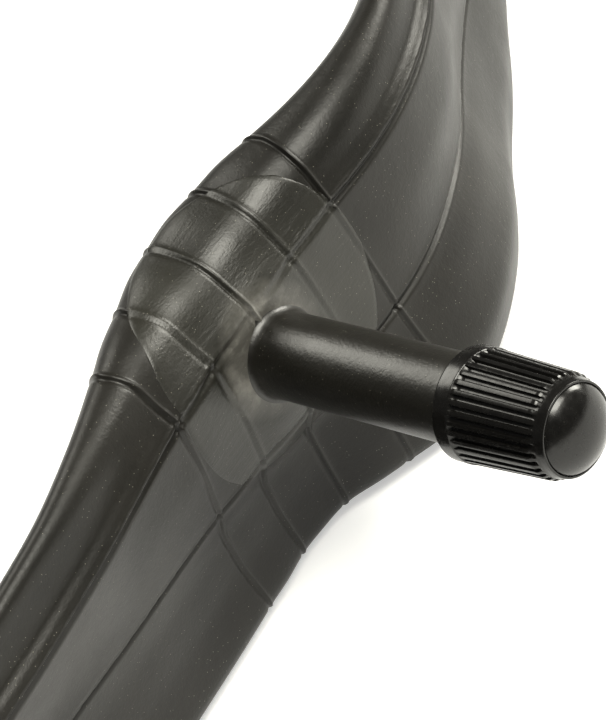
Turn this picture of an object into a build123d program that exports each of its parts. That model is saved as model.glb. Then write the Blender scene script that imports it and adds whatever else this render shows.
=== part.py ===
from build123d import *
import math
import os

# Bicycle inner tube with a rubber-covered car-type valve, for a 26 inch wheel.
# Millimetres. +Z is up. The tube lies on the ground as a ring, standing on the edge of its
# flattened section, and the valve points from +Y towards the middle of the ring.
# The origin is on the ground, in the middle of the ring's outline.

# ---- Driving sizes: the ring ------------------------------------------------------------
# The slack ring is not round. A short straight run, which the patch stiffens, carries the
# valve. From there the tube bends out and back on the right, and gently inwards on the left.
RING_RADIUS = 278.0        # the large bend, to the middle of the section
LEFT_RADIUS = 230.0        # bend on the left of the valve
DENT_RADIUS = 38.0         # bend on the right of the valve, which turns outwards
DENT_ANGLE = 38.0          # how far it turns, degrees
SHOULDER_RADIUS = 115.0    # bend after the dent, which turns back inwards
STRAIGHT_HALF = 16.0       # half of the straight run at the valve

# ---- Driving sizes: the rubber tube's section -------------------------------------------
TUBE_HEIGHT = 38.5         # flattened section, standing on its edge
TUBE_THICKNESS = 12.0      # outside, across the slack section
TUBE_WALL = 0.9            # butyl wall
VALVE_BELOW_TOP = 12.7     # the valve's axis below the section's upper edge

# ---- Driving sizes: patch and stem ------------------------------------------------------
PATCH_LENGTH = 30.0        # along the tube
PATCH_HEIGHT = 24.0        # across the tube, over the rounded edge
PATCH_THICKNESS = 0.8
STEM_RADIUS = 4.25         # rubber jacket, goes through the rim's 8.5 mm valve hole
STEM_LENGTH = 25.6         # from the patch to the cap's lower edge
STEM_END_STEP = 0.25       # the jacket's end, inside the cap's collar, is thinner by this
STEM_END_GAP = 0.4         # reduced end that shows below the cap
STEM_IN_CAP = 1.5          # how far the rubber reaches into the cap's collar
FOOT_RADIUS = 7.2          # where the jacket spreads on to the patch
FOOT_HEIGHT = 3.4
FOOT_EDGE = 0.35           # thickness of the foot's rim
FLARE_ACROSS = 0.27        # the flare's middle point, as shares of its width and height
FLARE_UP = 0.30
STEM_TIP_CHAMFER = 0.3

# ---- Driving sizes: brass stem ----------------------------------------------------------
INSERT_RADIUS = 3.1        # plain brass inside the rubber
FLANGE_RADIUS = 4.3        # brass flange moulded into the foot
FLANGE_THICKNESS = 0.8
FLANGE_HEIGHT = 0.3        # underside of the flange above the patch
THREAD_MAJOR = 3.87        # outside thread, 7.7 mm
THREAD_DEPTH = 0.45
THREAD_PITCH = 0.794       # 32 threads to the inch
THREAD_TURNS = 11
THREAD_START_GAP = 0.3     # plain neck between the rubber and the first thread
ROOT_END = 0.10            # one thread's corners, as shares of the pitch
CREST_START = 0.45
CREST_END = 0.60
ROOT_START = 0.95
TIP_CHAMFER = 0.45
CORE_THREAD_RADIUS = 2.6   # inside thread for the valve core
SEAT_BORE = 2.1            # smooth bore below the sealing cone
AIR_BORE = 1.6             # air passage down to the tube

# ---- Driving sizes: valve core ----------------------------------------------------------
CORE_SINK = 0.4            # top of the core's head below the mouth
PLUG_LENGTH = 3.2
PLUG_NECK = 1.1            # length of the two flats that the core key turns
PLUG_NECK_STEP = 0.4       # the neck is thinner than the plug's thread by this
PLUG_FLAT_WIDTH = 2.2
PIN_RADIUS = 0.5
PIN_HEAD_RADIUS = 0.8
PIN_HEAD_LENGTH = 0.5
PIN_COLLAR_RADIUS = 1.05   # the spring pushes on this collar
PIN_COLLAR_LENGTH = 0.4
PIN_STROKE = 1.2
WELL_SPARE = 1.0           # how far the wide bore goes on below the pressed cup
BARREL_RADIUS = 1.95
BARREL_BORE = 1.4
BARREL_LENGTH = 6.6
BARREL_FLOOR = 0.6
GASKET_TOP = 1.0           # top of the sealing ring below the plug
GASKET_LENGTH = 1.6
CUP_RADIUS = 1.35
CUP_LENGTH = 1.2
CUP_SEAL_THICKNESS = 0.6
SPRING_WIRE = 0.14         # radius of the wire
SPRING_RADIUS = 0.95       # middle of the wire
SPRING_TURNS = 6

# ---- Driving sizes: cap -----------------------------------------------------------------
CAP_WALL = 0.92            # at the upper end of the grip, over the ribs
CAP_TAPER = 0.43           # how much wider the grip is at its lower end
CAP_COLLAR_STEP = 0.07     # collar over the ribs
CAP_COLLAR_LENGTH = 1.75
CAP_COLLAR_ROUND = 0.25
CAP_GRIP_END = 10.9        # height of the ribs' upper end
CAP_SHOULDER_STEP = 0.55   # how much the shoulder draws in
CAP_SHOULDER_END = 12.4
SHOULDER_ACROSS = 0.7      # the shoulder's middle point, as shares of its step and height
SHOULDER_UP = 0.6
CAP_DOME_STEP = 0.2        # groove where the dome begins
CAP_DOME_HEIGHT = 2.3
CAP_RIBS = 34
CAP_GROOVE_DEPTH = 0.28
CAP_GROOVE_WIDTH = 0.64    # at the crest, as a share of the ribs' pitch
CAP_MOUTH_ABOVE = 1.4      # how far the cap's ceiling stands above the valve's mouth
SEAL_STEP = 0.37           # the cap's washer is smaller than the thread by this

# ---- Clearances -------------------------------------------------------------------------
RUNNING = 0.06             # radial, thread to cap and pin to its guide
JACKET_CLEARANCE = 0.15    # radial, rubber jacket to the cap's collar
END_GAP = 0.05             # between faces that meet when the cap or the core is shut

# ---- Places along the valve, outwards from the patch ------------------------------------
STEM_END_RADIUS = STEM_RADIUS - STEM_END_STEP
THREAD_START = STEM_LENGTH + STEM_IN_CAP + THREAD_START_GAP
MOUTH = THREAD_START + THREAD_TURNS * THREAD_PITCH + TIP_CHAMFER
PLUG_TOP = MOUTH - CORE_SINK
PLUG_BOTTOM = PLUG_TOP - PLUG_LENGTH
BARREL_BOTTOM = PLUG_BOTTOM - BARREL_LENGTH
CUP_SEAL_TOP = BARREL_BOTTOM - END_GAP
CUP_TOP = CUP_SEAL_TOP - CUP_SEAL_THICKNESS
CUP_BOTTOM = CUP_TOP - CUP_LENGTH
GASKET_PLACE = PLUG_BOTTOM - GASKET_TOP
PIN_COLLAR_TOP = PLUG_BOTTOM - END_GAP
INSERT_BOTTOM = -(PATCH_THICKNESS + TUBE_WALL)
CORE_WELL = CUP_BOTTOM - PIN_STROKE - WELL_SPARE

# ---- Sizes of the cap that follow from the thread ---------------------------------------
CAP_BORE = THREAD_MAJOR + RUNNING
CAP_CEILING = MOUTH + CAP_MOUTH_ABOVE - STEM_LENGTH
CAP_GRIP_TOP = CAP_BORE + CAP_WALL
CAP_GRIP_BOTTOM = CAP_GRIP_TOP + CAP_TAPER
CAP_COLLAR_RADIUS = CAP_GRIP_BOTTOM + CAP_COLLAR_STEP
CAP_SHOULDER_RADIUS = CAP_GRIP_TOP - CAP_SHOULDER_STEP
SEAL_CHAMBER = THREAD_MAJOR - SEAL_STEP

# ---- The ring's bends, with the valve's place at x = 0, y = 0 ---------------------------
HALF_THICKNESS = TUBE_THICKNESS / 2
VALVE_HEIGHT = TUBE_HEIGHT - VALVE_BELOW_TOP
SEAT_Y = -(HALF_THICKNESS + PATCH_THICKNESS)


def third_centre(left, right, left_gap, right_gap):
    """The point at two given distances from two centres, on the right of their line."""
    across = (right - left).length
    along = (left_gap ** 2 - right_gap ** 2 + across ** 2) / (2 * across)
    off = math.sqrt(left_gap ** 2 - along ** 2)
    ahead = (right - left) / across
    return left + ahead * along + Vector(ahead.Y, -ahead.X) * off


def direction(centre, point):
    """Angle of a point seen from a centre, in degrees from 0 to 360."""
    return math.degrees(math.atan2(point.Y - centre.Y, point.X - centre.X)) % 360


DENT_TURN = math.radians(DENT_ANGLE)
LEFT_CENTRE = Vector(-STRAIGHT_HALF, -LEFT_RADIUS)
DENT_CENTRE = Vector(STRAIGHT_HALF, DENT_RADIUS)
SHOULDER_CENTRE = DENT_CENTRE + Vector(math.sin(DENT_TURN), -math.cos(DENT_TURN)) * (
    DENT_RADIUS + SHOULDER_RADIUS
)
RING_CENTRE = third_centre(
    LEFT_CENTRE, SHOULDER_CENTRE, RING_RADIUS - LEFT_RADIUS, RING_RADIUS - SHOULDER_RADIUS
)
LEFT_END = direction(RING_CENTRE, LEFT_CENTRE)
SHOULDER_START = direction(RING_CENTRE, SHOULDER_CENTRE)

# Each bend: centre, radius, first angle and sweep, counter-clockwise.
BENDS = [
    (LEFT_CENTRE, LEFT_RADIUS, 90, LEFT_END - 90),
    (RING_CENTRE, RING_RADIUS, LEFT_END, SHOULDER_START + 360 - LEFT_END),
    (SHOULDER_CENTRE, SHOULDER_RADIUS, SHOULDER_START, 90 + DENT_ANGLE - SHOULDER_START),
    (DENT_CENTRE, DENT_RADIUS, 270, DENT_ANGLE),
]


def outline_middle():
    """Middle of the ring's outline, from the bends' furthest points on X and Y."""
    reach_x = []
    reach_y = []
    for centre, radius, start, sweep in BENDS:
        for quarter in range(0, 2 * 360 + 1, 90):
            if start <= quarter <= start + sweep:
                turn = math.radians(quarter)
                reach_x.append(centre.X + radius * math.cos(turn))
                reach_y.append(centre.Y + radius * math.sin(turn))
    return Vector((min(reach_x) + max(reach_x)) / 2, (min(reach_y) + max(reach_y)) / 2)


MIDDLE = outline_middle()


def to_object(shape):
    """From the valve's place to the middle of the outline, where the origin is."""
    return Pos(-MIDDLE.X, -MIDDLE.Y, 0) * shape


def at_valve(shape):
    """From a valve piece drawn along +Z to its place on the tube, pointing to -Y."""
    return to_object(Pos(0, SEAT_Y, VALVE_HEIGHT) * Rot(90, 0, 0) * shape)


def lathe(points):
    """A solid turned about Z from an outline of (radius, height) points."""
    outline = Plane.XZ * make_face(Polyline(*points, close=True))
    return revolve(outline, Axis.Z)


def rod(radius, bottom, top):
    """A round bar along Z between two heights."""
    return Pos(0, 0, (bottom + top) / 2) * Cylinder(radius, top - bottom)


# ---- The rubber tube --------------------------------------------------------------------
def tube_section(inset):
    """The flattened section, standing on its edge, inset by a wall."""
    height = TUBE_HEIGHT - 2 * inset
    thickness = TUBE_THICKNESS - 2 * inset
    return Rot(0, 0, 90) * SlotOverall(height, thickness)


def straight_run(inset):
    """The straight run at the valve, of the section inset by a wall."""
    section = Plane.YZ * (Pos(0, TUBE_HEIGHT / 2) * tube_section(inset))
    return extrude(section, STRAIGHT_HALF, both=True)


def tube_bend(inset, centre, radius, start, sweep):
    """One bend of the ring: the section turned about an upright axis."""
    upright = Plane.XZ * (Pos(radius, TUBE_HEIGHT / 2) * tube_section(inset))
    bend = revolve(upright, Axis.Z, revolution_arc=sweep)
    return Pos(centre.X, centre.Y, 0) * Rot(0, 0, start) * bend


def tube_loop(inset):
    """The whole ring as one solid, of the section inset by a wall."""
    loop = straight_run(inset)
    for bend in BENDS:
        loop += tube_bend(inset, *bend)
    return loop


def make_tube_body():
    """Extruded butyl tube, closed into a ring, with a hole for the valve."""
    hole = Pos(0, SEAT_Y, VALVE_HEIGHT) * Rot(90, 0, 0) * rod(INSERT_RADIUS, -HALF_THICKNESS, 1)
    return to_object(tube_loop(0) - tube_loop(TUBE_WALL) - hole)


# ---- The patch under the valve ----------------------------------------------------------
def make_valve_patch():
    """Oval rubber patch, vulcanised to the tube and bent over its upper edge."""
    shell = straight_run(-PATCH_THICKNESS) - straight_run(0)
    oval = extrude(Plane.XZ * Ellipse(PATCH_LENGTH / 2, PATCH_HEIGHT / 2), TUBE_THICKNESS)
    hole = Plane.XZ * Circle(INSERT_RADIUS)
    front = oval - extrude(hole, TUBE_THICKNESS)
    return to_object(shell & (Pos(0, 0, VALVE_HEIGHT) * front))


# ---- The brass stem ---------------------------------------------------------------------
def insert_outline():
    """Outside of the brass stem, from its lower end up to the mouth."""
    flange_top = FLANGE_HEIGHT + FLANGE_THICKNESS
    points = [
        (INSERT_RADIUS, INSERT_BOTTOM),
        (INSERT_RADIUS, FLANGE_HEIGHT),
        (FLANGE_RADIUS, FLANGE_HEIGHT),
        (FLANGE_RADIUS, flange_top),
        (INSERT_RADIUS, flange_top),
        (INSERT_RADIUS, THREAD_START),
    ]
    root = THREAD_MAJOR - THREAD_DEPTH
    for turn in range(THREAD_TURNS):
        foot = THREAD_START + turn * THREAD_PITCH
        points.append((root, foot + ROOT_END * THREAD_PITCH))
        points.append((THREAD_MAJOR, foot + CREST_START * THREAD_PITCH))
        points.append((THREAD_MAJOR, foot + CREST_END * THREAD_PITCH))
        points.append((root, foot + ROOT_START * THREAD_PITCH))
    points.append((root, MOUTH - TIP_CHAMFER))
    points.append((root - TIP_CHAMFER / 2, MOUTH))
    return points


def make_stem_insert():
    """Turned brass stem: flange, outside thread and stepped bore for the core."""
    cone_top = GASKET_PLACE
    cone_bottom = GASKET_PLACE - GASKET_LENGTH
    bore = [
        (CORE_THREAD_RADIUS, MOUTH),
        (CORE_THREAD_RADIUS, cone_top),
        (SEAT_BORE, cone_bottom),
        (SEAT_BORE, CORE_WELL),
        (AIR_BORE, CORE_WELL - (SEAT_BORE - AIR_BORE)),
        (AIR_BORE, INSERT_BOTTOM),
    ]
    return at_valve(lathe(insert_outline() + bore))


# ---- The rubber jacket ------------------------------------------------------------------
def make_stem_rubber():
    """Moulded rubber jacket: straight stem and a foot that spreads on the patch."""
    sink = -HALF_THICKNESS / 2
    top = STEM_LENGTH + STEM_IN_CAP
    step = STEM_LENGTH - STEM_END_GAP
    flare = ThreePointArc(
        (FOOT_RADIUS, FOOT_EDGE),
        (
            STEM_RADIUS + FLARE_ACROSS * (FOOT_RADIUS - STEM_RADIUS),
            FLARE_UP * FOOT_HEIGHT + FOOT_EDGE,
        ),
        (STEM_RADIUS, FOOT_HEIGHT),
    )
    wall = Polyline(
        (STEM_RADIUS, FOOT_HEIGHT),
        (STEM_RADIUS, step),
        (STEM_END_RADIUS, step),
        (STEM_END_RADIUS, top - STEM_TIP_CHAMFER),
        (STEM_END_RADIUS - STEM_TIP_CHAMFER, top),
        (INSERT_RADIUS, top),
        (INSERT_RADIUS, sink),
        (FOOT_RADIUS, sink),
        (FOOT_RADIUS, FOOT_EDGE),
    )
    jacket = revolve(Plane.XZ * make_face(flare + wall), Axis.Z)
    flange = rod(FLANGE_RADIUS, FLANGE_HEIGHT, FLANGE_HEIGHT + FLANGE_THICKNESS)
    return at_valve(jacket - flange) - to_object(straight_run(-PATCH_THICKNESS))


# ---- The valve core ---------------------------------------------------------------------
def make_core_plug():
    """Threaded head of the core: flats for the key, a guide for the pin and two air slots."""
    neck_foot = PLUG_TOP - PLUG_NECK
    head = rod(CORE_THREAD_RADIUS, PLUG_BOTTOM, neck_foot)
    neck = rod(CORE_THREAD_RADIUS - PLUG_NECK_STEP, neck_foot, PLUG_TOP)
    flats = Pos(0, 0, (neck_foot + PLUG_TOP) / 2) * Box(
        2 * CORE_THREAD_RADIUS, PLUG_FLAT_WIDTH, PLUG_NECK
    )
    guide = rod(PIN_RADIUS + RUNNING, PLUG_BOTTOM, PLUG_TOP)
    recess = rod(PIN_HEAD_RADIUS + RUNNING, PLUG_TOP - PIN_HEAD_LENGTH - PIN_STROKE, PLUG_TOP)
    slot_place = (BARREL_BORE + PIN_RADIUS) / 2
    slots = [
        Pos(side * slot_place, 0, (PLUG_BOTTOM + neck_foot) / 2)
        * Cylinder((BARREL_BORE - PIN_RADIUS) / 3, 2 * PLUG_LENGTH)
        for side in (-1, 1)
    ]
    return at_valve(head + (neck & flats) - guide - recess - slots)


def make_core_barrel():
    """Lower housing of the core, open at the top, with a guide hole in its floor."""
    body = rod(BARREL_RADIUS, BARREL_BOTTOM, PLUG_BOTTOM)
    bore = rod(BARREL_BORE, BARREL_BOTTOM + BARREL_FLOOR, PLUG_BOTTOM)
    guide = rod(PIN_RADIUS + 2 * RUNNING, BARREL_BOTTOM, PLUG_BOTTOM)
    return at_valve(body - bore - guide)


def make_core_gasket():
    """Tapered sealing ring on the barrel, squeezed into the stem's cone."""
    return at_valve(lathe([
        (BARREL_RADIUS, GASKET_PLACE),
        (CORE_THREAD_RADIUS, GASKET_PLACE),
        (SEAT_BORE, GASKET_PLACE - GASKET_LENGTH),
        (BARREL_RADIUS, GASKET_PLACE - GASKET_LENGTH),
    ]))


def make_core_pin():
    """Pin with a swaged head to press, and the collar that the spring lifts."""
    stem = rod(PIN_RADIUS, CUP_BOTTOM, PLUG_TOP)
    head = rod(PIN_HEAD_RADIUS, PLUG_TOP - PIN_HEAD_LENGTH, PLUG_TOP)
    collar = rod(PIN_COLLAR_RADIUS, PIN_COLLAR_TOP - PIN_COLLAR_LENGTH, PIN_COLLAR_TOP)
    return at_valve(stem + head + collar)


def make_core_cup():
    """Brass cup on the pin's lower end, which carries the seal."""
    return at_valve(rod(CUP_RADIUS, CUP_BOTTOM, CUP_TOP) - rod(PIN_RADIUS, CUP_BOTTOM, CUP_TOP))


def make_core_cup_seal():
    """Rubber washer between the cup and the barrel's floor."""
    washer = rod(CUP_RADIUS, CUP_TOP, CUP_SEAL_TOP)
    return at_valve(washer - rod(PIN_RADIUS, CUP_TOP, CUP_SEAL_TOP))


def make_core_spring():
    """Coil spring between the barrel's floor and the pin's collar."""
    bottom = BARREL_BOTTOM + BARREL_FLOOR + SPRING_WIRE + END_GAP / 2
    top = PIN_COLLAR_TOP - PIN_COLLAR_LENGTH - SPRING_WIRE - END_GAP / 2
    height = top - bottom
    coil = Helix(pitch=height / SPRING_TURNS, height=height, radius=SPRING_RADIUS)
    wire = Plane(coil @ 0, z_dir=coil % 0) * Circle(SPRING_WIRE)
    return at_valve(Pos(0, 0, bottom) * sweep(wire, path=coil, is_frenet=True))


# ---- The cap ----------------------------------------------------------------------------
def cap_outside():
    """Outline of the cap over the crests of its ribs."""
    dome_radius = CAP_SHOULDER_RADIUS - CAP_DOME_STEP
    dome_foot = CAP_SHOULDER_END + CAP_DOME_STEP / 2
    dome_top = CAP_SHOULDER_END + CAP_DOME_HEIGHT
    rise = dome_top - dome_foot
    ball = (dome_radius ** 2 + rise ** 2) / (2 * rise)
    half_turn = math.asin(dome_radius / ball) / 2
    side = Polyline(
        (0, 0),
        (CAP_COLLAR_RADIUS - CAP_COLLAR_ROUND, 0),
        (CAP_COLLAR_RADIUS, CAP_COLLAR_ROUND),
        (CAP_COLLAR_RADIUS, CAP_COLLAR_LENGTH),
        (CAP_GRIP_BOTTOM, CAP_COLLAR_LENGTH + CAP_COLLAR_ROUND),
        (CAP_GRIP_TOP, CAP_GRIP_END),
    )
    shoulder = ThreePointArc(
        (CAP_GRIP_TOP, CAP_GRIP_END),
        (
            CAP_SHOULDER_RADIUS + SHOULDER_ACROSS * (CAP_GRIP_TOP - CAP_SHOULDER_RADIUS),
            CAP_GRIP_END + SHOULDER_UP * (CAP_SHOULDER_END - CAP_GRIP_END),
        ),
        (CAP_SHOULDER_RADIUS, CAP_SHOULDER_END),
    )
    step = Line((CAP_SHOULDER_RADIUS, CAP_SHOULDER_END), (dome_radius, dome_foot))
    dome = ThreePointArc(
        (dome_radius, dome_foot),
        (ball * math.sin(half_turn), dome_top - ball * (1 - math.cos(half_turn))),
        (0, dome_top),
    )
    middle = Line((0, dome_top), (0, 0))
    return revolve(Plane.XZ * make_face(side + shoulder + step + dome + middle), Axis.Z)


def grip_groove(turn):
    """One straight groove between two ribs, leaning in with the grip's taper."""
    lean = math.degrees(
        math.atan2(CAP_GRIP_BOTTOM - CAP_GRIP_TOP, CAP_GRIP_END - CAP_COLLAR_LENGTH)
    )
    length = CAP_GRIP_END - CAP_COLLAR_LENGTH
    pitch = 2 * math.pi * CAP_GRIP_TOP / CAP_RIBS
    width = CAP_GROOVE_WIDTH * pitch
    wedge = Polyline(
        (-CAP_GROOVE_DEPTH, 0),
        (CAP_GROOVE_DEPTH, width),
        (CAP_GROOVE_DEPTH, -width),
        close=True,
    )
    groove = extrude(make_face(wedge), length)
    placed = Pos(CAP_GRIP_BOTTOM, 0, CAP_COLLAR_LENGTH) * Rot(0, -lean, 0) * groove
    return Rot(0, 0, turn) * placed


def make_valve_cap():
    """Moulded plastic dust cap: collar, ribbed grip, smooth shoulder and low dome."""
    grooves = [grip_groove((index + 0.5) * 360 / CAP_RIBS) for index in range(CAP_RIBS)]
    thread_top = MOUTH - STEM_LENGTH + END_GAP
    hollow = (
        rod(STEM_END_RADIUS + JACKET_CLEARANCE, 0, STEM_IN_CAP + THREAD_START_GAP)
        + rod(CAP_BORE, 0, thread_top)
        + rod(SEAL_CHAMBER, 0, CAP_CEILING)
    )
    return at_valve(Pos(0, 0, STEM_LENGTH) * (cap_outside() - grooves - hollow))


def make_cap_seal():
    """Rubber washer in the top of the cap, which shuts the valve's mouth."""
    ceiling = STEM_LENGTH + CAP_CEILING
    return at_valve(rod(SEAL_CHAMBER - RUNNING, MOUTH + END_GAP, ceiling - END_GAP))


PIECES = {
    "tube_body": make_tube_body,
    "valve_patch": make_valve_patch,
    "stem_rubber": make_stem_rubber,
    "stem_insert": make_stem_insert,
    "core_plug": make_core_plug,
    "core_barrel": make_core_barrel,
    "core_gasket": make_core_gasket,
    "core_pin": make_core_pin,
    "core_cup": make_core_cup,
    "core_cup_seal": make_core_cup_seal,
    "core_spring": make_core_spring,
    "valve_cap": make_valve_cap,
    "cap_seal": make_cap_seal,
}

os.makedirs("parts", exist_ok=True)
for name, make in PIECES.items():
    export_step(make(), f"parts/{name}.step")
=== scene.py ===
import math

import bmesh
import bpy
import numpy as np
from mathutils import Matrix, Vector


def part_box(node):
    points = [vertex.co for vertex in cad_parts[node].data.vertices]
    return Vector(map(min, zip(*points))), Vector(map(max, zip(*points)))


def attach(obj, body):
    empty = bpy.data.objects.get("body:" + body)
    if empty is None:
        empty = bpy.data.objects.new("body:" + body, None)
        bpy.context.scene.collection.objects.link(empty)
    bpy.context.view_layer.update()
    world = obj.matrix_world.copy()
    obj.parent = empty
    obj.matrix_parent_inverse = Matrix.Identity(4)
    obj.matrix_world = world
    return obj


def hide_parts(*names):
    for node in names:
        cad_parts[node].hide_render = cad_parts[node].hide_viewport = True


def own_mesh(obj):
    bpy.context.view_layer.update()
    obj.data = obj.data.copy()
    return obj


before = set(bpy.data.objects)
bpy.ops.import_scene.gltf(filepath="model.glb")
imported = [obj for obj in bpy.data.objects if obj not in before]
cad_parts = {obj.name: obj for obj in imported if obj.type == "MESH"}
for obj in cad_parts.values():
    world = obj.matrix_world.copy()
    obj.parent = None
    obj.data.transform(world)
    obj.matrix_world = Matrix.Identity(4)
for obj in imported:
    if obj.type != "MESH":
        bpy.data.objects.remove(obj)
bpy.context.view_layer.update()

# ---- The rubber tube ---------------------------------------------------------------------
# Butyl rubber, extruded, joined into a ring and moulded in a heated mould. The mould leaves two
# thin lines along the inner side and five cross ribs where the valve is vulcanised on. Slack,
# it stands on the edge of its flattened section and leans where the hand has bent it.
MM = 0.001
RING_RADIUS = 278.0
LEFT_RADIUS = 230.0
DENT_RADIUS = 38.0
DENT_TURN = math.radians(38.0)
SHOULDER_RADIUS = 115.0
STRAIGHT_HALF = 16.0
HALF_THICKNESS = 6.0

# The valve's place: on the axis of its cap, at the face of the patch.
cap_low, cap_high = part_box("valve_cap")
patch_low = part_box("valve_patch")[0]
VALVE = Vector(((cap_low.x + cap_high.x) / 2, patch_low.y, (cap_low.z + cap_high.z) / 2))
FACE_OFF_TUBE = 0.8

FIRST_LINE_DROP = -6.6
SECOND_LINE_DROP = 8.4
RIB_PITCH = 7.05
RIBS = range(-2, 3)

# The corners of the section, from the crest down the valve's side, under the foot and up the
# back, and the drop of each below the valve's axis.
CREST, VALLEY, FIRST_LINE, FACET, SECOND_LINE, LEDGE, BELLY, FOOT, GROUND = range(9)
BACK_FOOT, BACK_LOW, BACK_MIDDLE, BACK_TOP, BACK_CREST = range(9, 14)
CORNER_DROPS = [-13.2, -10.2, FIRST_LINE_DROP, 0.9, SECOND_LINE_DROP, 12.2, 18.5, 24.6, 25.8,
                22.5, 13.0, 1.0, -8.5, -12.8]

# How far the corners on the valve's side stand in from the middle of the section, at places
# along the tube from the valve. The slack rubber folds and leans as these change.
# along, crest, valley, first line, facet, second line, ledge, belly, foot
STATIONS = [
    (-420, -0.5, 1.6, 5.2, 5.8, 5.6, 5.4, 4.6, 2.0),
    (-260, 0.8, 2.2, 6.4, 6.2, 5.4, 5.0, 4.2, 2.2),
    (-150, 6.0, 6.2, 10.0, 8.4, 5.4, 4.6, 3.4, 2.4),
    (-90, 11.0, 10.2, 13.6, 10.2, 5.2, 4.2, 3.2, 2.6),
    (-62, 13.4, 11.8, 15.1, 10.6, 5.2, 4.4, 3.6, 3.6),
    (-42, 14.0, 12.2, 15.0, 10.5, 5.2, 4.2, 3.6, 3.6),
    (-30, 12.6, 11.2, 13.7, 9.9, 5.8, 4.4, 3.4, 3.4),
    (-20, 9.2, 9.0, 11.3, 8.7, 5.3, 3.4, 1.9, 2.6),
    (-13, 5.0, 6.4, 9.5, 7.9, 5.1, 2.4, 1.2, 1.4),
    (-7, 1.8, 4.2, 8.1, 7.3, 5.1, 2.2, 0.6, 0.3),
    (0, -1.2, 3.0, 7.3, 7.1, 6.0, 2.4, 1.0, 0.1),
    (6, -1.4, 3.0, 6.8, 6.8, 6.4, 4.6, 5.0, 5.0),
    (13, -0.4, 3.4, 6.2, 6.6, 6.9, 7.6, 9.2, 8.2),
    (20, 1.8, 4.6, 6.6, 6.4, 5.6, 7.2, 9.0, 6.2),
    (28, 3.9, 4.2, 6.6, 6.0, 3.8, 5.4, 6.6, 4.2),
    (38, 5.3, 4.4, 6.4, 5.4, 2.8, 3.6, 4.4, 2.4),
    (50, 5.4, 4.2, 6.2, 5.2, 2.6, 3.0, 3.4, 1.6),
    (58, 5.0, 4.0, 6.0, 5.0, 2.2, 2.4, 2.8, 1.2),
    (66, 4.6, 3.8, 5.8, 4.8, 1.8, 1.8, 1.6, -0.4),
    (74, 4.2, 3.6, 5.7, 4.8, 1.6, 0.6, -0.4, -3.6),
    (83, 3.8, 3.4, 5.6, 4.8, 1.4, -1.0, -3.6, -8.0),
    (98, 3.0, 3.0, 5.6, 4.8, 1.6, -2.0, -5.4, -9.4),
    (125, 1.6, 2.6, 5.6, 5.2, 3.4, 1.2, -1.0, -3.8),
    (160, 1.0, 2.3, 5.5, 5.7, 4.8, 3.8, 2.4, -0.4),
    (220, 0.2, 2.0, 5.4, 5.9, 5.4, 5.0, 4.4, 1.8),
    (430, -0.6, 1.6, 5.2, 5.8, 5.8, 5.6, 4.8, 2.0),
]


def third_centre(left, right, left_gap, right_gap):
    """The point at two given distances from two centres, on the right of their line."""
    across = (right - left).length
    along = (left_gap ** 2 - right_gap ** 2 + across ** 2) / (2 * across)
    off = math.sqrt(left_gap ** 2 - along ** 2)
    ahead = (right - left) / across
    return left + ahead * along + Vector((ahead.y, -ahead.x)) * off


def heading(centre, point):
    """Direction of a point seen from a centre, in radians from 0 to a full turn."""
    return math.atan2(point.y - centre.y, point.x - centre.x) % (2 * math.pi)


left_centre = Vector((-STRAIGHT_HALF, -LEFT_RADIUS))
dent_centre = Vector((STRAIGHT_HALF, DENT_RADIUS))
shoulder_centre = dent_centre + Vector((math.sin(DENT_TURN), -math.cos(DENT_TURN))) * (
    DENT_RADIUS + SHOULDER_RADIUS
)
ring_centre = third_centre(
    left_centre, shoulder_centre, RING_RADIUS - LEFT_RADIUS, RING_RADIUS - SHOULDER_RADIUS
)
left_end = heading(ring_centre, left_centre)
shoulder_start = heading(ring_centre, shoulder_centre)

# Each run of the ring from the valve round to the valve again: length, and turn per mm.
RUNS = [
    (STRAIGHT_HALF, 0.0),
    (DENT_RADIUS * DENT_TURN, 1 / DENT_RADIUS),
    (SHOULDER_RADIUS * (math.pi / 2 + DENT_TURN - shoulder_start), -1 / SHOULDER_RADIUS),
    (RING_RADIUS * (shoulder_start + 2 * math.pi - left_end), -1 / RING_RADIUS),
    (LEFT_RADIUS * (left_end - math.pi / 2), -1 / LEFT_RADIUS),
    (STRAIGHT_HALF, 0.0),
]
PERIMETER = sum(length for length, turn in RUNS)


def centreline(along):
    """Place and heading of the section's middle, in mm from the valve."""
    along = np.mod(along, PERIMETER)
    x, y, angle = np.zeros_like(along), np.zeros_like(along), np.zeros_like(along)
    start, at_x, at_y, at_angle = 0.0, 0.0, 0.0, 0.0
    for length, turn in RUNS:
        here = along >= start
        gone = along[here] - start
        bent = at_angle + gone * turn
        end = at_angle + length * turn
        if turn:
            x[here] = at_x + (np.sin(bent) - math.sin(at_angle)) / turn
            y[here] = at_y - (np.cos(bent) - math.cos(at_angle)) / turn
            at_x += (math.sin(end) - math.sin(at_angle)) / turn
            at_y -= (math.cos(end) - math.cos(at_angle)) / turn
        else:
            x[here] = at_x + gone * math.cos(at_angle)
            y[here] = at_y + gone * math.sin(at_angle)
            at_x += length * math.cos(at_angle)
            at_y += length * math.sin(at_angle)
        angle[here] = bent
        at_angle = end
        start += length
    return x, y, angle


def soften(values, width, axis, wraps):
    """Rounds off corners: a running average with a bell-shaped weight, width in samples."""
    reach = int(3 * width) + 1
    weights = np.exp(-0.5 * (np.arange(-reach, reach + 1) / width) ** 2)
    weights /= weights.sum()
    pads = [(0, 0)] * values.ndim
    pads[axis] = (reach, reach)
    padded = np.pad(values, pads, mode="wrap" if wraps else "edge")
    return np.apply_along_axis(lambda line: np.convolve(line, weights, "valid"), axis, padded)


STATION_STEP = 0.5
STATION_BLEND = 6.0


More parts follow.
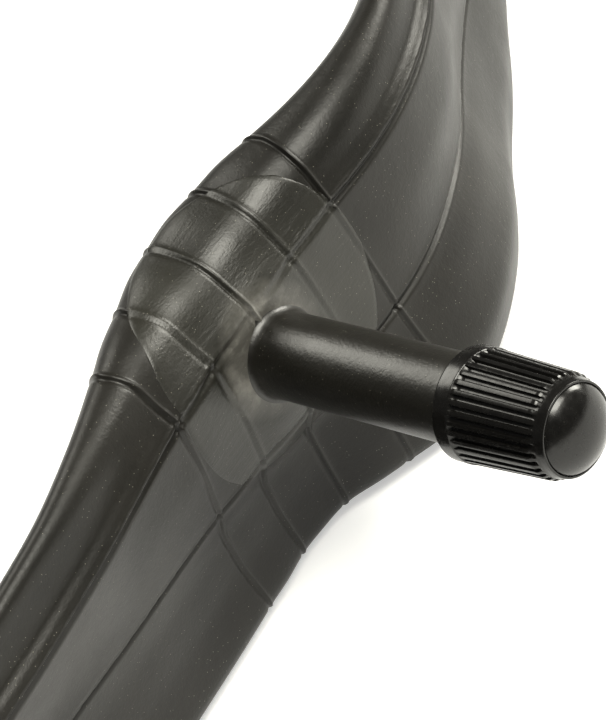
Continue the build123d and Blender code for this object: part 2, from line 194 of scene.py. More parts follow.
def front_corners(along):
    """The valve's side: the corners' distances in from the middle along the tube, in mm."""
    table = np.array(STATIONS, float)
    fine = np.arange(-PERIMETER / 2, PERIMETER / 2, STATION_STEP)
    columns = []
    for column in table.T[1:]:
        values = soften(np.interp(fine, table[:, 0], column), STATION_BLEND, 0, True)
        columns.append(np.interp(along, fine, values))
    return np.array(columns).T


# The least thickness of the tube behind a corner of the valve's side.
THICK_AT_CREST, THICK_AT_TOP = 3.0, 6.2
THICK_AT_FOOT, THICK_ABOVE_FOOT, THICK_AT_BELLY = 2.6, 4.2, 6.0
BACK_FOOT_ROUNDING = 1.4
LEAN_LEAST, LEAN_MOST = -4, 12
LOW_FOLLOWS, MIDDLE_FOLLOWS = 0.164, 0.451


def section_corners(along):
    """All the corners' distances in from the middle: the back follows the front's lean."""
    front = front_corners(along)
    crest, belly, foot = front[:, CREST], front[:, BELLY], front[:, FOOT]
    lean = np.clip(crest - foot, LEAN_LEAST, LEAN_MOST)
    back_foot = np.minimum(BACK_FOOT_ROUNDING - HALF_THICKNESS, foot - THICK_AT_FOOT)
    back_low = np.minimum(lean * LOW_FOLLOWS - HALF_THICKNESS, foot - THICK_ABOVE_FOOT)
    back_middle = np.minimum(lean * MIDDLE_FOLLOWS - HALF_THICKNESS, belly - THICK_AT_BELLY)
    ground = (foot + back_foot) / 2
    back = [ground, back_foot, back_low, back_middle, crest - THICK_AT_TOP, crest - THICK_AT_CREST]
    return np.concatenate([front, np.stack(back, axis=1)], axis=1)


STEPS_PER_EDGE = [7, 20, 30, 30, 18, 26, 24, 10, 20, 38, 48, 38, 12, 5]
CORNER_ROUNDING = 4.0


def section_outline(along):
    """The rounded section: distance in, drop below the axis, and which corner is passed."""
    corners = section_corners(along)
    drops = np.tile(np.array(CORNER_DROPS), (len(along), 1))
    insides, heights, kinds = [], [], []
    for edge, steps in enumerate(STEPS_PER_EDGE):
        after = (edge + 1) % len(CORNER_DROPS)
        share = np.arange(steps) / steps
        insides.append(corners[:, [edge]] * (1 - share) + corners[:, [after]] * share)
        heights.append(drops[:, [edge]] * (1 - share) + drops[:, [after]] * share)
        kinds.append(edge + share)
    inside = soften(np.concatenate(insides, axis=1), CORNER_ROUNDING, 1, True)
    drop = soften(np.concatenate(heights, axis=1), CORNER_ROUNDING, 1, True)
    return inside, drop, np.concatenate(kinds)


def bump(distance, width, height=1.0):
    """A round ridge, or a groove where the height is below zero."""
    return height * np.exp(-0.5 * (distance / width) ** 2)


def beyond(distance, edge, blend):
    """0 well inside an edge and 1 well outside it, with a soft change between."""
    return 1 / (1 + np.exp((edge - distance) / blend))


def by_corner(kind, *pairs):
    """A value round the section, given at some of the corners."""
    at, values = zip(*pairs)
    return np.interp(kind, at, values)


def from_corner(corner, kind, travelled):
    """Distance round the section from a corner, the short way."""
    distance = travelled - travelled[:, [int(np.argmin(abs(kind - corner)))]]
    whole = travelled[:, [-1]]
    return (distance + whole / 2) % whole - whole / 2


ARM_START, ARM_BLEND = 24.0, 4.0
LINE_FADE = 4.5
PILLOW_END, PILLOW_BLEND = 2.05 * RIB_PITCH, 0.4


def relief(stations, kind, travelled):
    """Height of what the mould and the slack leave on the rubber, in mm."""
    first = from_corner(FIRST_LINE, kind, travelled)
    second = from_corner(SECOND_LINE, kind, travelled)
    from_valve = abs(stations)[:, None]
    raised = np.zeros(travelled.shape)
    # The two mould lines: thin ragged ridges with a groove beside them.
    ragged = 1 + 0.35 * np.sin(stations * 2.7)[:, None] * np.sin(stations * 1.13 + 1)[:, None]
    line = 1 - bump(from_valve, LINE_FADE, 0.8)
    raised += line * ragged * bump(first, 0.17, 0.17)
    raised += line * bump(first - 0.58, 0.23, -0.40)
    raised += ragged * bump(second + 0.40, 0.19, 0.12) + bump(second, 0.21, -0.55)
    # The soft bead above the first line. On the arms a hollow parts it from the line.
    arm = beyond(from_valve, ARM_START, ARM_BLEND)
    raised += arm * (bump(first + 4.8, 1.7, 0.75) + bump(first + 1.8, 0.75, -0.36))
    raised += (1 - arm) * bump(first + 5.2, 2.2, 1.15)
    # The cross ribs, and the rubber that swells between them.
    strength = by_corner(
        kind, (CREST, 1), (FIRST_LINE, 1.1), (FACET, 0.5), (SECOND_LINE, 0.9), (LEDGE, 0.9),
        (GROUND, 0.7), (BACK_TOP, 0.7), (BACK_CREST + 1, 1),
    )
    for rib in RIBS:
        from_rib = stations[:, None] - rib * RIB_PITCH
        raised += strength * (bump(from_rib, 0.14, 0.19) + bump(from_rib + 0.36, 0.18, -0.17))
    pillow = 0.5 - 0.5 * np.cos(2 * math.pi * stations / RIB_PITCH)
    pillow *= 1 - beyond(abs(stations), PILLOW_END, PILLOW_BLEND)
    swell = by_corner(
        kind, (CREST, 0.2), (FIRST_LINE, 0.18), (FACET, 0.03), (SECOND_LINE, 0.12), (LEDGE, 0.14),
        (GROUND, 0.1), (BACK_TOP, 0.1), (BACK_CREST + 1, 0.2),
    )
    return raised + pillow[:, None] * swell


SEAT_RADIUS = 7.0
SEAT_RISE = 1.25
SEAT_STEEPNESS = 5
FAN_REACH = 40.0


def tube_points(stations, lift=0.0):
    """Points of the tube's outside for places along it: an array of station by step, in mm."""
    inside, drop, kind = section_outline(stations)
    # The rubber is drawn up round the foot of the valve.
    from_valve = np.hypot(stations[:, None], drop)
    seat = np.exp(-(from_valve / SEAT_RADIUS) ** SEAT_STEEPNESS) * (kind < BELLY)
    inside = inside * (1 - seat) + (HALF_THICKNESS + SEAT_RISE) * seat
    # The ribs fan out a little towards the crest.
    fan = by_corner(
        kind, (CREST, 0.10), (FIRST_LINE, 0.0), (SECOND_LINE, 0.0), (GROUND, -0.04),
        (BACK_LOW, 0), (BACK_TOP, 0.08), (BACK_CREST + 1, 0.10),
    )
    near = np.exp(-(stations / FAN_REACH) ** 2)[:, None]
    along = stations[:, None] * (1 + fan[None, :] * near)
    x, y, angle = centreline(along.ravel())
    shape = along.shape
    x, y, angle = x.reshape(shape), y.reshape(shape), angle.reshape(shape)
    points = np.stack([
        x + inside * np.sin(angle),
        y - inside * np.cos(angle),
        -drop,
    ], axis=-1)
    ahead = np.gradient(points, axis=0)
    round_about = np.roll(points, -1, axis=1) - np.roll(points, 1, axis=1)
    normal = np.cross(round_about, ahead)
    normal /= np.linalg.norm(normal, axis=-1, keepdims=True)
    step = np.linalg.norm(np.roll(points, -1, axis=1) - points, axis=-1)
    raised = relief(stations, kind, np.cumsum(step, axis=1))
    return points + normal * (raised + lift)[..., None], kind


def to_object(points):
    """From mm at the valve to metres in the object's frame."""
    middle = VALVE.y + (HALF_THICKNESS + FACE_OFF_TUBE) * MM
    origin = np.array([VALVE.x, middle, VALVE.z])
    return points * MM + origin


# Cross-sections per mm of tube: on the far side, and what the arms and each rib add.
FAR_DENSITY, ARM_DENSITY, RIB_DENSITY = 0.2, 1.35, 8.0
FINE_MIDDLE, FINE_REACH = 14, 78


def tube_stations():
    """Places along the tube: close together at the ribs and coarse on the far side."""
    pace = 0.05
    density_at = np.arange(-PERIMETER / 2, PERIMETER / 2, pace)
    density = np.full_like(density_at, FAR_DENSITY)
    density += ARM_DENSITY * (1 - beyond(abs(density_at - FINE_MIDDLE), FINE_REACH, 6))
    for rib in RIBS:
        density += bump(density_at - rib * RIB_PITCH + 0.15, 0.6, RIB_DENSITY)
    total = np.cumsum(density) * pace
    count = int(total[-1])
    return np.interp((np.arange(count) + 0.5) / count * total[-1], total, density_at)


KEEP_BY_LINE = 8
KEEP_ONE_IN = 3


def section_steps(count_all):
    """The fine steps that the mesh keeps: all at the mould lines and the crest, else a third."""
    edges = np.cumsum([0] + STEPS_PER_EDGE)
    kept = []
    for index in range(count_all):
        from_line = min(abs(index - edges[FIRST_LINE]), abs(index - edges[SECOND_LINE]))
        at_crest = index >= edges[BACK_TOP] or index < edges[VALLEY]
        if from_line <= KEEP_BY_LINE or index % KEEP_ONE_IN == 0 or at_crest:
            kept.append(index)
    return np.array(kept)


stations = tube_stations()
surface = tube_points(stations)[0]
kept = section_steps(surface.shape[1])
surface = to_object(surface[:, kept])

# A plain ring of the right number of steps is spun first, and then takes the tube's form.
PLAIN_RING = 1.0
PLAIN_SECTION = 0.02
bm = bmesh.new()
bmesh.ops.create_circle(
    bm, cap_ends=False, segments=len(kept), radius=PLAIN_SECTION,
    matrix=Matrix.Translation((PLAIN_RING, 0, 0)) @ Matrix.Rotation(math.pi / 2, 4, "X"),
)
bmesh.ops.spin(
    bm, geom=bm.verts[:] + bm.edges[:], cent=(0, 0, 0), axis=(0, 0, 1), dvec=(0, 0, 0),
    angle=2 * math.pi, steps=len(stations), use_merge=True, use_duplicate=False,
)
for vert in bm.verts:
    outwards = math.hypot(vert.co.x, vert.co.y) - PLAIN_RING
    round_ring = math.atan2(vert.co.y, vert.co.x) / (2 * math.pi)
    round_section = math.atan2(vert.co.z, outwards) / (2 * math.pi)
    station = round(round_ring * len(stations)) % len(stations)
    step = round(round_section * len(kept)) % len(kept)
    vert.co = surface[station, step]
bmesh.ops.recalc_face_normals(bm, faces=bm.faces[:])
for face in bm.faces:
    face.smooth = True
mesh = bpy.data.meshes.new("tube_rubber")
bm.to_mesh(mesh)
bm.free()
tube = bpy.data.objects.new("tube_rubber", mesh)
bpy.context.scene.collection.objects.link(tube)


class Finish:
    """A procedural material with its nodes at hand."""

    def __init__(self, name):
        self.material = bpy.data.materials.new(name)
        self.material.use_nodes = True
        self.nodes = self.material.node_tree.nodes
        self.links = self.material.node_tree.links
        self.shader = self.nodes["Principled BSDF"]
        self.place = self.nodes.new("ShaderNodeTexCoord").outputs["Object"]

    def link(self, source, target):
        self.links.new(source, target)

    def noise(self, scale, detail=4.0, roughness=0.55, stretch=None, turn=None):
        """A noise of features about 1/scale metres wide, which may be drawn out."""
        texture = self.nodes.new("ShaderNodeTexNoise")
        texture.inputs["Scale"].default_value = scale
        texture.inputs["Detail"].default_value = detail
        texture.inputs["Roughness"].default_value = roughness
        source = self.place
        if stretch:
            mapping = self.nodes.new("ShaderNodeMapping")
            mapping.inputs["Scale"].default_value = stretch
            mapping.inputs["Rotation"].default_value = turn or (0, 0, 0)
            self.link(source, mapping.inputs["Vector"])
            source = mapping.outputs["Vector"]
        self.link(source, texture.inputs["Vector"])
        return texture.outputs["Fac"]

    def ramp(self, source, stops):
        """Turns a value into a colour or a grey, by stops of (position, value)."""
        ramp = self.nodes.new("ShaderNodeValToRGB")
        elements = ramp.color_ramp.elements
        for index, (position, value) in enumerate(stops):
            colour = (value,) * 3 if isinstance(value, (int, float)) else value
            element = elements[index] if index < 2 else elements.new(position)
            element.position = position
            element.color = (*colour, 1)
        self.link(source, ramp.inputs["Fac"])
        return ramp.outputs["Color"]

    def specks(self, rarity):
        """Grains of dust 0.1 mm wide. Rarity is the share of half-millimetre cells with none."""
        cells = self.nodes.new("ShaderNodeTexVoronoi")
        cells.inputs["Scale"].default_value = 2200.0
        self.link(self.place, cells.inputs["Vector"])
        split = self.nodes.new("ShaderNodeSeparateColor")
        self.link(cells.outputs["Color"], split.inputs["Color"])
        dusty = self.math("GREATER_THAN", split.outputs["Red"], rarity)
        grain = self.ramp(cells.outputs["Distance"], [(0.04, 1.0), (0.11, 0.0)])
        return self.math("MULTIPLY", grain, dusty)

    def math(self, operation, first, second):
        """A sum of two values, each a number or another node's output."""
        node = self.nodes.new("ShaderNodeMath")
        node.operation = operation
        for socket, value in zip(node.inputs, (first, second)):
            if isinstance(value, (int, float)):
                socket.default_value = value
            else:
                self.link(value, socket)
        return node.outputs["Value"]

    def mix(self, share, first, second):
        """First colour where share is 0, second where it is 1."""
        node = self.nodes.new("ShaderNodeMix")
        node.data_type = "RGBA"
        sockets = [socket for socket in node.inputs if socket.type == "RGBA"]
        factors = [socket for socket in node.inputs if socket.name == "Factor"]
        self.link(share, [socket for socket in factors if socket.type == "VALUE"][0])
        for socket, value in zip(sockets, (first, second)):
            if isinstance(value, tuple):
                socket.default_value = (*value, 1)
            else:
                self.link(value, socket)
        return [socket for socket in node.outputs if socket.type == "RGBA"][0]

    def bump(self, heights, distance, strength=1.0):
        """Fine relief: heights of 1 stand up by distance, in metres."""
        node = self.nodes.new("ShaderNodeBump")
        node.inputs["Distance"].default_value = distance
        node.inputs["Strength"].default_value = strength
        self.link(heights, node.inputs["Height"])
        self.link(node.outputs["Normal"], self.shader.inputs["Normal"])


DUST_COLOUR = (0.25, 0.24, 0.20)
PORE_DEPTH = 0.00003
PORE_SCALE = 3800.0


def rubber(name, base, dusty, rough, pore_scale=PORE_SCALE, dust_rarity=0.30):
    """Black butyl: fine pores, a faint bloom, fine dust and slow changes of gloss."""
    finish = Finish(name)
    bloom = finish.ramp(finish.noise(70.0, 3.0), [(0.35, 0.0), (0.75, 1.0)])
    colour = finish.mix(bloom, base, dusty)
    colour = finish.mix(finish.specks(dust_rarity), colour, DUST_COLOUR)
    finish.link(colour, finish.shader.inputs["Base Color"])
    patchy = finish.math("MULTIPLY", finish.noise(150.0, 5.0), 0.16)
    fine = finish.math("MULTIPLY", finish.noise(2600.0, 2.0), 0.06)
    dulled = finish.math("ADD", finish.math("ADD", patchy, rough - 0.10), fine)
    finish.link(dulled, finish.shader.inputs["Roughness"])
    pores = finish.noise(pore_scale, 2.0)
    waves = finish.noise(260.0, 2.0)
    grain = finish.noise(1300.0, 3.0, 0.6)
    heights = finish.math("ADD", pores, finish.math("MULTIPLY", waves, 2.0))
    heights = finish.math("ADD", heights, finish.math("MULTIPLY", grain, 1.6))
    finish.bump(heights, PORE_DEPTH, 0.6)
    finish.shader.inputs["Specular IOR Level"].default_value = 0.42
    return finish


tube_finish = rubber("butyl_rubber", (0.0095, 0.0088, 0.0072), (0.0175, 0.0162, 0.0134), 0.40)
mesh.materials.append(tube_finish.material)
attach(tube, "tube")
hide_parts("tube_body")


# ---- The patch under the valve -----------------------------------------------------------
# An oval of rubber about half a millimetre thick, buffed and vulcanised to the tube so that
# it follows every rib and line. Its edge is feathered, and its face is rubbed lighter.
PATCH_HALF_LENGTH = 14.2
PATCH_HALF_HEIGHT = 17.0
PATCH_SHIFT = 0.2
PATCH_RISE = 3.2
PATCH_LIFT = 0.09
PATCH_SHEET = 0.5
PATCH_WOBBLE = 0.02
EDGE_SLOPE, EDGE_TUCK = 50, 0.6
PATCH_RINGS = 52
PATCH_SIDES = 300

# The tube's surface near the valve, bare and raised by the patch. The steps round the section
# are turned to start at the back, so that the patch can run over the crest.
SHEET_STEP = 0.1
near_stations = np.arange(-18.0, 22.0, SHEET_STEP)
bare, kinds = tube_points(near_stations)
raised = tube_points(near_stations, lift=PATCH_LIFT)[0]
back_first = -int(np.argmax(kinds >= GROUND))
bare, raised = np.roll(bare, back_first, axis=1), np.roll(raised, back_first, axis=1)
on_back = np.roll(kinds, back_first) > GROUND

# Distance round the section from the valve's axis, below it and, less than zero, above it.
middle = bare[int(np.argmin(abs(near_stations)))]
gaps = np.linalg.norm(np.diff(middle, axis=0), axis=-1)
reach = np.concatenate([[0.0], np.cumsum(gaps)])
reach -= reach[int(np.argmin(np.where(on_back, np.inf, abs(middle[:, 2]))))]


def on_patch(along, down, lifted):
    """A point of the patch: mm along the tube and down round it, and how far it is lifted."""
    row = (along - near_stations[0]) / SHEET_STEP
    column = np.interp(down, reach, np.arange(len(reach)))
    row_before, column_before = int(row), int(column)
    past_row, past_column = row - row_before, column - column_before
    point = np.zeros(3)
    for next_row, row_weight in ((0, 1 - past_row), (1, past_row)):
        for next_column, column_weight in ((0, 1 - past_column), (1, past_column)):
            place = (row_before + next_row, column_before + next_column)
            sheet = bare[place] + (raised[place] - bare[place]) * lifted
            point += row_weight * column_weight * sheet
    return to_object(point)


bm = bmesh.new()
bmesh.ops.create_circle(bm, cap_ends=False, segments=PATCH_SIDES, radius=1.0)
edges = bm.edges[:]
for ring in range(PATCH_RINGS, 1, -1):
    grown = bmesh.ops.extrude_edge_only(bm, edges=edges)["geom"]
    verts = [item for item in grown if isinstance(item, bmesh.types.BMVert)]
    edges = [item for item in grown if isinstance(item, bmesh.types.BMEdge)]
    bmesh.ops.scale(bm, verts=verts, vec=((ring - 1) / ring,) * 3)
bmesh.ops.contextual_create(bm, geom=edges)
for vert in bm.verts:
    wobble = 1 + PATCH_WOBBLE * math.sin(3 * math.atan2(vert.co.y, vert.co.x) + 1)
    vert.co = on_patch(
        PATCH_SHIFT + PATCH_HALF_LENGTH * wobble * vert.co.x,
        PATCH_HALF_HEIGHT * wobble * vert.co.y - PATCH_RISE,
        min(1.0, (1 - min(1.0, vert.co.length)) * EDGE_SLOPE - EDGE_TUCK),
    )
bmesh.ops.recalc_face_normals(bm, faces=bm.faces[:])
faces_tube = sum(face.normal.y * face.calc_area() for face in bm.faces) > 0
if faces_tube:
    bmesh.ops.reverse_faces(bm, faces=bm.faces[:])
for face in bm.faces:
    face.smooth = True
patch_mesh = bpy.data.meshes.new("valve_patch_rubber")
bm.to_mesh(patch_mesh)
bm.free()
patch = bpy.data.objects.new("valve_patch_rubber", patch_mesh)
bpy.context.scene.collection.objects.link(patch)
backing = patch.modifiers.new("backing", "SOLIDIFY")
backing.thickness = PATCH_SHEET * MM
backing.offset = -1.0
patch_finish = rubber("buffed_rubber", (0.0110, 0.0104, 0.0076), (0.0205, 0.0197, 0.0145), 0.39)
patch_colour = patch_finish.shader.inputs["Base Color"].links[0].from_socket

# The rubbed ring round the valve: distance from its axis in mm, then a soft fade outwards.
RUBBED_SHIFT = (0.8, -1.5)
RUBBED_COLOUR = (0.20, 0.193, 0.175)
flat = patch_finish.nodes.new("ShaderNodeVectorMath")
flat.operation = "MULTIPLY_ADD"
flat.inputs[1].default_value = (1 / MM, 0.0, 1 / MM)
flat.inputs[2].default_value = (
    -VALVE.x / MM + RUBBED_SHIFT[0], 0.0, -VALVE.z / MM + RUBBED_SHIFT[1],
)
patch_finish.link(patch_finish.place, flat.inputs[0])
from_valve = patch_finish.nodes.new("ShaderNodeVectorMath")
from_valve.operation = "LENGTH"
patch_finish.link(flat.outputs["Vector"], from_valve.inputs[0])
rubbed = patch_finish.ramp(
    patch_finish.math("MULTIPLY", from_valve.outputs["Value"], 0.1),
    [(0.48, 1.0), (0.58, 0.55), (0.72, 0.0)],
)
worn = patch_finish.ramp(patch_finish.noise(420.0, 4.0, 0.6), [(0.30, 0.0), (0.72, 1.0)])
worn = patch_finish.math("MULTIPLY", rubbed, patch_finish.math("MAXIMUM", worn, 0.4))
patch_finish.link(
    patch_finish.mix(worn, patch_colour, RUBBED_COLOUR),
    patch_finish.shader.inputs["Base Color"],
)
strokes = patch_finish.noise(900.0, 5.0, 0.6, stretch=(0.45, 2.4, 2.4), turn=(0, 0.35, 0))
strokes = patch_finish.math("MULTIPLY", strokes, 2.0)
pores = patch_finish.noise(PORE_SCALE, 2.0)
patch_finish.bump(patch_finish.math("ADD", pores, strokes), PORE_DEPTH, 0.75)
patch_finish.shader.inputs["Specular IOR Level"].default_value = 0.65
patch_mesh.materials.append(patch_finish.material)
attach(patch, "tube")
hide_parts("valve_patch")


# ---- The valve's rubber jacket -----------------------------------------------------------
# Moulded rubber over the brass stem, with a small rounded foot that is cured to the patch, and
# a thinner end over which the cap screws down.
def lathe(outline, steps):
    """A piece turned round the valve's axis from a closed outline of (radius, height), in mm."""
    bm = bmesh.new()
    verts = [bm.verts.new((radius, 0, height)) for radius, height in outline]
    for first, second in zip(verts, verts[1:] + verts[:1]):
        bm.edges.new((first, second))
    bmesh.ops.spin(
        bm, geom=bm.verts[:] + bm.edges[:], cent=(0, 0, 0), axis=(0, 0, 1), dvec=(0, 0, 0),
        angle=2 * math.pi, steps=steps, use_merge=True, use_duplicate=False,
    )
    bmesh.ops.remove_doubles(bm, verts=bm.verts[:], dist=0.002)
    return bm


def finish_turned(bm, name, body, sharp=35.0):
    """Puts a turned piece on the valve, with its normals outwards, and links it."""
    bmesh.ops.recalc_face_normals(bm, faces=bm.faces[:])
    if bm.calc_volume(signed=True) < 0:
        bmesh.ops.reverse_faces(bm, faces=bm.faces[:])
    stand = Matrix.Translation(VALVE) @ Matrix.Rotation(math.pi / 2, 4, "X")
    bmesh.ops.transform(bm, matrix=stand @ Matrix.Scale(MM, 4), verts=bm.verts[:])
    for face in bm.faces:
        face.smooth = True
    for edge in bm.edges:
        edge.smooth = edge.calc_face_angle(0.0) < math.radians(sharp)
    mesh = bpy.data.meshes.new(name)
    bm.to_mesh(mesh)
    bm.free()
    piece = bpy.data.objects.new(name, mesh)
    bpy.context.scene.collection.objects.link(piece)
    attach(piece, body)
    return piece


def rounded(points, radius, steps=4):
    """An open outline with its corners rounded off."""
    out = [points[0]]
    for before, here, after in zip(points, points[1:], points[2:]):
        to_before = Vector(before) - Vector(here)
        to_after = Vector(after) - Vector(here)
        cut = min(radius, 0.45 * to_before.length, 0.45 * to_after.length)
        start = Vector(here) + to_before.normalized() * cut
        end = Vector(here) + to_after.normalized() * cut
        for step in range(steps + 1):
            share = step / steps
            curve = start * (1 - share) ** 2 + Vector(here) * 2 * share * (1 - share)
            out.append(tuple(curve + end * share ** 2))
    out.append(points[-1])
    return out


cap_foot = (VALVE.y - cap_high.y) / MM
jacket_end = (VALVE.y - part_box("stem_rubber")[0].y) / MM
STEM_RADIUS = 4.25
END_RADIUS = STEM_RADIUS - 0.25
JACKET_BORE = 3.1
FILLET = 1.0
FILLET_HEIGHT = 1.2
FOOT_HEIGHT = 0.4
FOOT_SINK = -1.2
outline = [
    (JACKET_BORE, FOOT_SINK), (STEM_RADIUS + FILLET, FOOT_SINK),
    (STEM_RADIUS + FILLET, FOOT_HEIGHT - 0.1),
]
for step in range(11):
    turn = step / 10 * math.pi / 2
    outline.append((
        STEM_RADIUS + FILLET * (1 - math.sin(turn)),
        FOOT_HEIGHT + FILLET_HEIGHT * (1 - math.cos(turn)),
    ))
shaft_start = FOOT_HEIGHT + FILLET_HEIGHT + 0.1
for step in range(1, 21):
    outline.append((STEM_RADIUS, shaft_start + step / 20 * (cap_foot - 0.5 - shaft_start)))
outline += rounded([
    (STEM_RADIUS, cap_foot - 0.4), (END_RADIUS, cap_foot - 0.3), (END_RADIUS, jacket_end - 0.3),
    (END_RADIUS - 0.25, jacket_end), (JACKET_BORE, jacket_end),
], 0.15)
jacket = finish_turned(lathe(outline, 128), "stem_jacket", "tube")
jacket_finish = rubber("stem_rubber", (0.0080, 0.0072, 0.0054), (0.0135, 0.0125, 0.0095), 0.37)
jacket_finish.shader.inputs["Specular IOR Level"].default_value = 0.8
jacket.data.materials.append(jacket_finish.material)
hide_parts("stem_rubber")


# ---- The brass stem and the core ---------------------------------------------------------
# Turned brass: the stem with its outside thread, and the core's plug, barrel, pin and cup.
# They stand inside the jacket and the cap, and show when the cap is off.
TARNISHED = 0.55


def metal(name, colour, rough):
    """Turned metal, with fine tool marks round the valve's axis and a dulled skin."""
    finish = Finish(name)
    tarnish = finish.ramp(finish.noise(900.0, 4.0), [(0.3, 0.0), (0.8, 1.0)])
    dull = tuple(TARNISHED * channel for channel in colour)
    finish.link(finish.mix(tarnish, colour, dull), finish.shader.inputs["Base Color"])
    finish.shader.inputs["Metallic"].default_value = 1.0
    finish.link(
        finish.ramp(finish.noise(1500.0, 3.0), [(0.2, rough - 0.08), (0.8, rough + 0.12)]),
        finish.shader.inputs["Roughness"],
    )
    finish.bump(finish.noise(2500.0, 2.0, stretch=(0.15, 6.0, 0.15)), 0.00001, 0.5)
    return finish.material


def refinish(node, material):
    """Gives a CAD node that stays in view its real finish."""
    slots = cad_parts[node].material_slots
    if slots:
        slots[0].material = material
    else:
        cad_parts[node].data.materials.append(material)


stem_brass = metal("stem_brass", (0.56, 0.44, 0.24), 0.30)
core_brass = metal("core_brass", (0.66, 0.53, 0.30), 0.24)
refinish("stem_insert", stem_brass)
for node in ("core_plug", "core_barrel", "core_pin", "core_cup"):
    refinish(node, core_brass)


# ---- The core's seals and the cap's washer -----------------------------------------------
# Small rings of a harder black rubber: the cone seal, the cup's seal and the cap's washer.
seal_finish = rubber(
    "seal_rubber", (0.010, 0.010, 0.010), (0.02, 0.02, 0.02), 0.45,
    pore_scale=9000.0, dust_rarity=0.95,
)
for node in ("core_gasket", "core_cup_seal", "cap_seal"):
    refinish(node, seal_finish.material)


# ---- The core's spring -------------------------------------------------------------------
# Six turns of thin steel wire between the barrel's floor and the pin's collar.
spring_low, spring_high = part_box("core_spring")
WIRE = 0.14
SPRING_TURNS = 6
STEPS_PER_TURN = 28
spring_length = (spring_high.y - spring_low.y) / MM - 2 * WIRE
spring_foot = (VALVE.y - spring_high.y) / MM + WIRE
spring_radius = (spring_high.x - spring_low.x) / 2 / MM - WIRE
bm = bmesh.new()
bmesh.ops.create_circle(
    bm, cap_ends=True, segments=10, radius=WIRE,
    matrix=Matrix.Translation((spring_radius, 0, spring_foot))
    @ Matrix.Rotation(math.pi / 2, 4, "X"),
)
steps = SPRING_TURNS * STEPS_PER_TURN
bmesh.ops.spin(
    bm, geom=bm.verts[:] + bm.edges[:] + bm.faces[:], cent=(0, 0, 0), axis=(0, 0, 1),
    dvec=(0, 0, spring_length / steps), angle=2 * math.pi * SPRING_TURNS, steps=steps,
    use_merge=False, use_duplicate=False,
)
spring = finish_turned(bm, "core_spring_wire", "tube", 60.0)
spring.data.materials.append(metal("spring_steel", (0.55, 0.56, 0.58), 0.25))
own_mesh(spring)
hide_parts("core_spring")


# ---- The dust cap ------------------------------------------------------------------------
# Injection-moulded black plastic, screwed on the stem: a plain collar, 34 straight ribs that
# lean in, a polished shoulder with a sharp step, and a low polished dome.
CAP_RIBS = 34
RIB_STEPS = 10
RIB_DEPTH = 0.34
MOUTH_RADIUS = 4.3
COLLAR_RADIUS, COLLAR_END = 5.35, 1.75
GRIP_LOW, GRIP_HIGH = 5.28, 4.85
GRIP_START, GRIP_END = COLLAR_END + 0.12, 10.9
SHOULDER_TOP, SHOULDER_END = 4.36, 12.4
DOME_RADIUS, DOME_RISE = 4.12, 1.95
BORE, BORE_START, BORE_END = 3.93, 1.8, 11.0
WASHER_ROOM, CEILING = 3.5, 12.38

outline = rounded([
    (MOUTH_RADIUS, 0.25), (MOUTH_RADIUS, 0.0), (COLLAR_RADIUS, 0.0), (COLLAR_RADIUS, COLLAR_END),
    (GRIP_LOW, GRIP_START),
], 0.28)
for step in range(1, 25):
    share = step / 25
    outline.append((
        GRIP_LOW + (GRIP_HIGH - GRIP_LOW) * share, GRIP_START + (GRIP_END - GRIP_START) * share,
    ))
outline += rounded([
    (GRIP_HIGH, GRIP_END), (GRIP_HIGH - 0.14, GRIP_END + 0.22),
    (SHOULDER_TOP + 0.12, GRIP_END + 0.75), (SHOULDER_TOP, SHOULDER_END),
    (DOME_RADIUS + 0.02, SHOULDER_END), (DOME_RADIUS, SHOULDER_END - 0.14),
], 0.22)
ball = (DOME_RADIUS ** 2 + DOME_RISE ** 2) / (2 * DOME_RISE)
opening = math.asin(DOME_RADIUS / ball)
for step in range(1, 19):
    turn = opening * (1 - step / 18)
    outline.append((
        ball * math.sin(turn), SHOULDER_END + DOME_RISE - ball * (1 - math.cos(turn)),
    ))
outline += [
    (0.0, CEILING), (WASHER_ROOM, CEILING), (WASHER_ROOM, BORE_END + 0.05), (BORE, BORE_END),
    (BORE, BORE_START), (MOUTH_RADIUS - 0.15, COLLAR_END),
]
bm = lathe(outline, CAP_RIBS * RIB_STEPS)


def share_between(value, low, high):
    """0 up to low and 1 from high."""
    return min(1.0, max(0.0, (value - low) / (high - low)))


# The grooves between the ribs fade out at the collar and over the shoulder.
for vert in bm.verts:
    radius = math.hypot(vert.co.x, vert.co.y)
    if radius > GRIP_HIGH - 0.3 and vert.co.z > COLLAR_END + 0.05:
        wave = 0.5 - 0.5 * math.cos(CAP_RIBS * math.atan2(vert.co.y, vert.co.x))
        groove = share_between(wave, 0.30, 0.75)
        groove = groove * groove * (3 - 2 * groove)
        start = share_between(vert.co.z, COLLAR_END + 0.08, COLLAR_END + 0.33)
        end = 1 - share_between(vert.co.z, GRIP_END, GRIP_END + 0.55)
        kept_radius = 1 - RIB_DEPTH * groove * start * end / radius
        vert.co.x *= kept_radius
        vert.co.y *= kept_radius
bmesh.ops.translate(bm, verts=bm.verts[:], vec=(0, 0, cap_foot))
cap = finish_turned(bm, "valve_cap_shell", "cap", 40.0)
PLASTIC_DARK, PLASTIC_PALE = (0.0060, 0.0056, 0.0052), (0.0105, 0.0100, 0.0090)
plastic = Finish("black_plastic")
cloudy = plastic.ramp(plastic.noise(300.0), [(0.35, 0.0), (0.8, 1.0)])
plastic_colour = plastic.mix(
    plastic.math("MULTIPLY", plastic.specks(0.86), 0.8),
    plastic.mix(cloudy, PLASTIC_DARK, PLASTIC_PALE),
    (0.20, 0.19, 0.17),
)
plastic.link(plastic_colour, plastic.shader.inputs["Base Color"])
plastic_gloss = plastic.ramp(plastic.noise(1400.0, 3.0), [(0.3, 0.19), (0.8, 0.33)])
plastic.link(plastic_gloss, plastic.shader.inputs["Roughness"])
plastic.shader.inputs["Specular IOR Level"].default_value = 0.55
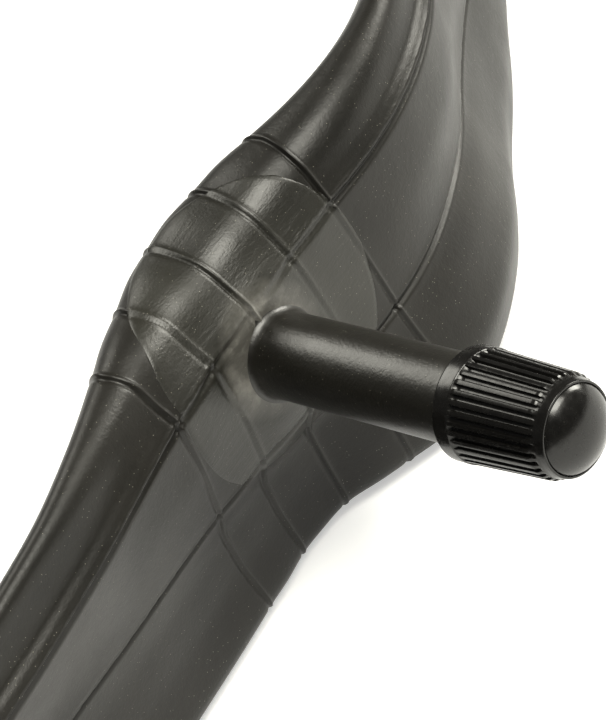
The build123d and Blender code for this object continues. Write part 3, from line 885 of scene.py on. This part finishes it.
plastic.bump(plastic.noise(1100.0, 3.0), 0.00002, 0.35)
cap.data.materials.append(plastic.material)
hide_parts("valve_cap")


# ---- Floor, light and camera -------------------------------------------------------------
# The camera stands at the side of the ring and looks down on the valve. The floor is plain
# white paper. One large soft light hangs above on the valve's side, one behind the tube, and a
# low one on the right catches the stem and the cap.
STUDIO_WHITE = (1.0, 1.0, 0.99, 1)
bm = bmesh.new()
bmesh.ops.create_grid(bm, x_segments=1, y_segments=1, size=6.0)
floor_mesh = bpy.data.meshes.new("floor")
bm.to_mesh(floor_mesh)
bm.free()
floor = bpy.data.objects.new("floor", floor_mesh)
bpy.context.scene.collection.objects.link(floor)
paper = bpy.data.materials.new("white_paper")
paper.use_nodes = True
paper_shader = paper.node_tree.nodes["Principled BSDF"]
paper_shader.inputs["Base Color"].default_value = (0.70, 0.70, 0.69, 1)
paper_shader.inputs["Emission Color"].default_value = STUDIO_WHITE
paper_shader.inputs["Emission Strength"].default_value = 0.42
paper_shader.inputs["Roughness"].default_value = 0.8
paper_shader.inputs["Specular IOR Level"].default_value = 0.1
floor_mesh.materials.append(paper)

world = bpy.data.worlds.new("studio")
world.use_nodes = True
backdrop = world.node_tree.nodes["Background"]
backdrop.inputs["Color"].default_value = STUDIO_WHITE
backdrop.inputs["Strength"].default_value = 0.10
bpy.context.scene.world = world
bpy.context.scene.view_settings.view_transform = "Standard"
bpy.context.scene.view_settings.look = "Medium High Contrast"


def softbox(name, place, width, height, power):
    """A rectangular studio light that points at the valve."""
    light = bpy.data.lights.new(name, "AREA")
    light.shape = "RECTANGLE"
    light.size = width
    light.size_y = height
    light.energy = power
    light.color = (1.0, 0.98, 0.895)
    lamp = bpy.data.objects.new(name, light)
    lamp.location = VALVE + Vector(place)
    lamp.rotation_euler = (-Vector(place)).to_track_quat("-Z", "Y").to_euler()
    bpy.context.scene.collection.objects.link(lamp)


softbox("key_light", (0.17, -0.42, 0.87), 0.60, 0.60, 13.5)
softbox("back_light", (0.10, 0.80, 0.78), 0.60, 0.50, 5.0)
softbox("side_light", (0.95, -0.15, 0.34), 0.40, 0.40, 7.5)

camera_data = bpy.data.cameras.new("camera")
camera_data.sensor_width = 36.0
camera_data.lens = 145.6
camera_data.clip_start = 0.01
camera_data.clip_end = 20.0
camera = bpy.data.objects.new("camera", camera_data)
camera_place = VALVE + Vector((-0.10262, -0.19893, 0.16402))
to_right = Vector((0.5770, -0.6810, -0.4509)).normalized()
to_up = Vector((0.7267, 0.1761, 0.6640))
to_back = to_right.cross(to_up).normalized()
to_up = to_back.cross(to_right).normalized()
aim = Matrix((to_right, to_up, to_back)).transposed().to_4x4()
camera.matrix_world = Matrix.Translation(camera_place) @ aim
bpy.context.scene.collection.objects.link(camera)
bpy.context.scene.camera = camera
